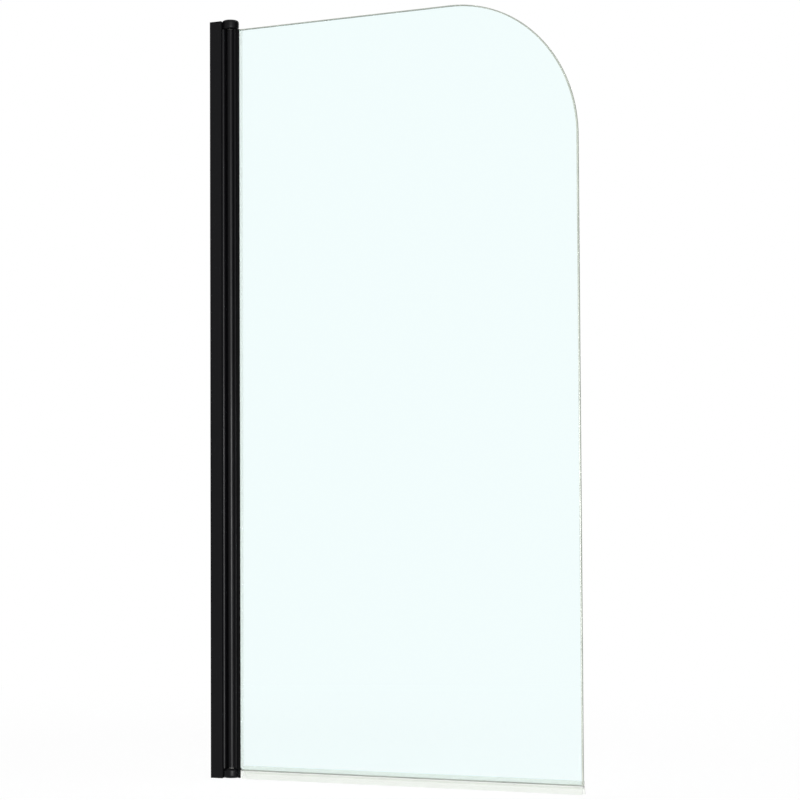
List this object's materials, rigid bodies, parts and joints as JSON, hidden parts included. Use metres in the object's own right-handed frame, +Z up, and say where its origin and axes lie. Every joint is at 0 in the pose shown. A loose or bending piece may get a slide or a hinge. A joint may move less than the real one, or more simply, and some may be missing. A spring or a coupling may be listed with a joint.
{
  "type": "pivoting bath screen",
  "caption": "Clear glass bath screen with one rounded top corner, held in a slim black hinge profile that pivots between round caps on a black wall channel.",
  "frame": {"origin": "on the wall plane, at the middle of the wall channel's back face across its width, level with its bottom end on the bath rim", "axes": "+Z up, along the wall channel and the pivot axis; +X away from the wall along the closed glass; +Y through the glass, away from the picture's viewer"},
  "size_m": [0.75, 0.0341, 1.4022],
  "materials": {
    "black_aluminium": "satin black powder-coated aluminium extrusion",
    "black_nylon": "moulded black glass-filled nylon with a soft sheen",
    "black_steel": "black-plated steel",
    "stainless_steel": "turned stainless steel",
    "white_acetal": "natural white acetal",
    "clear_glass": "clear toughened glass with polished edges",
    "clear_pvc": "clear flexible PVC extrusion",
    "black_rubber": "black soft rubber extrusion"
  },
  "bodies": {
    "wall_post": {"wall_channel": "black_aluminium", "pivot_post": "black_aluminium", "front_post_seal": "black_rubber", "back_post_seal": "black_rubber", "nose_seal": "black_rubber", "bottom_pivot_cap": "black_nylon", "top_pivot_cap": "black_nylon", "bottom_pivot_pin": "stainless_steel", "top_pivot_pin": "stainless_steel", "bottom_cap_screw": "black_steel", "top_cap_screw": "black_steel", "lock_screws": "stainless_steel", "lock_screw_covers": "black_nylon"},
    "screen": {"hinge_profile": "black_aluminium", "bottom_pivot_bush": "white_acetal", "top_pivot_bush": "white_acetal", "glass_panel": "clear_glass", "setting_blocks": "white_acetal", "front_glazing_gasket": "clear_pvc", "back_glazing_gasket": "clear_pvc", "bottom_seal": "clear_pvc"}
  },
  "joints": [
    {"name": "screen_pivot", "type": "hinge", "parent": "wall_post", "child": "screen", "pos_m": [0.0365, 0, 0], "axis": [0, 0, 1], "range_deg": [-90, 90]}
  ]
}
